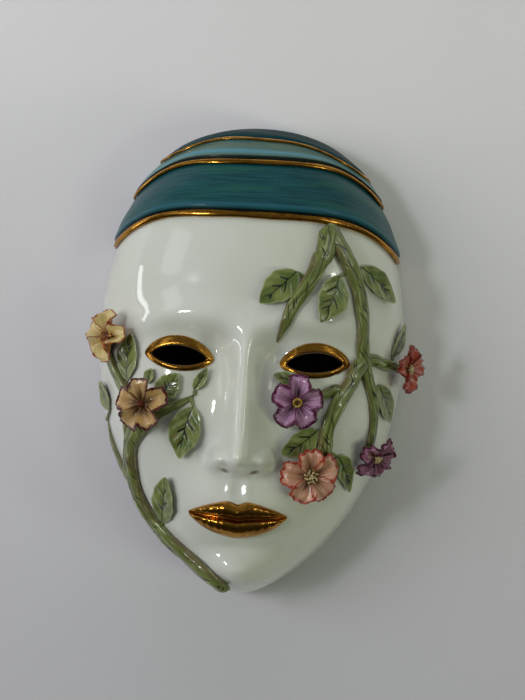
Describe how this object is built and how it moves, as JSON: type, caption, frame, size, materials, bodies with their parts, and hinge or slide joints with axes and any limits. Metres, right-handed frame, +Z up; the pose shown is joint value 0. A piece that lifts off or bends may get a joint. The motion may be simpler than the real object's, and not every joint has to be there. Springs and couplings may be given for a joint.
{
  "type": "masquerade mask",
  "caption": "Life-size white porcelain masquerade mask for a wall, with a banded teal headwrap, gilded eyes and lips, trailing hand-formed flowers and leaves, and a wire hanger.",
  "frame": {"origin": "middle of the flat back rim under the chin, in the plane that rests on the wall", "axes": "+Z up the face, +Y out of the back towards the wall, so the face looks along -Y, +X to the viewer's right"},
  "size_m": [0.16, 0.0794, 0.2288],
  "materials": {
    "white_glaze": "white porcelain under a clear gloss glaze",
    "teal_glaze": "dark teal enamel with brush streaks, gloss",
    "turquoise_glaze": "pale grey-turquoise enamel with brush streaks, gloss",
    "gilding": "bright gold lustre, worn a little on its edges",
    "stem_green": "olive and brown underglaze with incised strokes, gloss",
    "leaf_green": "leaf green enamel with dark painted veins, gloss",
    "cream_yellow": "cream yellow enamel, rust red petal edges, gloss",
    "amber": "ochre enamel, dark maroon petal edges, gloss",
    "mauve": "mauve enamel, dark purple petal edges, gloss",
    "coral": "salmon enamel, red ruffled petal edges, gloss",
    "purple": "dark mauve enamel, ruffled edges, gloss",
    "red": "coral red enamel, dark ruffled edges, gloss",
    "flower_centre": "ochre and gold touched stamens",
    "hanger_brass": "plain drawn brass wire, satin"
  },
  "bodies": {
    "mask": {"face_shell": "white_glaze", "headwrap_lower_band": "teal_glaze", "headwrap_middle_band": "turquoise_glaze", "headwrap_crown": "teal_glaze", "headwrap_lower_gilt_edge": "gilding", "headwrap_middle_gilt_edge": "gilding", "headwrap_upper_gilt_edge": "gilding", "left_eye_rim": "gilding", "right_eye_rim": "gilding", "gilded_lips": "gilding", "right_main_stem": "stem_green", "right_inner_stem": "stem_green", "right_temple_twig": "stem_green", "right_diagonal_stem": "stem_green", "right_flower_twig": "stem_green", "left_main_stem": "stem_green", "left_rim_twig": "stem_green", "left_temple_stem": "stem_green", "left_cheek_twig": "stem_green", "right_brow_leaf": "leaf_green", "right_fork_leaf": "leaf_green", "right_forehead_leaf": "leaf_green", "right_temple_leaf": "leaf_green", "right_nose_leaf": "leaf_green", "right_side_leaf": "leaf_green", "right_cheek_leaf": "leaf_green", "right_jaw_leaf": "leaf_green", "left_cheek_leaf": "leaf_green", "left_under_eye_leaf": "leaf_green", "left_bud_leaf": "leaf_green", "left_temple_leaf": "leaf_green", "left_edge_leaf": "leaf_green", "left_jaw_leaf": "leaf_green", "left_blade_leaf": "leaf_green", "yellow_flower_petals": "cream_yellow", "yellow_flower_centre": "flower_centre", "amber_flower_petals": "amber", "amber_flower_centre": "flower_centre", "mauve_flower_petals": "mauve", "mauve_flower_centre": "flower_centre", "coral_flower_petals": "coral", "coral_flower_centre": "flower_centre", "purple_flower_petals": "purple", "purple_flower_centre": "flower_centre", "red_flower_petals": "red", "red_flower_centre": "flower_centre", "left_hanger_lug": "white_glaze", "right_hanger_lug": "white_glaze"},
    "hanger": {"hanger_wire": "hanger_brass"}
  },
  "joints": [
    {"name": "hanger_swing", "type": "hinge", "parent": "mask", "child": "hanger", "pos_m": [0, -0.008, 0.16], "axis": [1, 0, 0], "range_deg": [0, 187]}
  ]
}
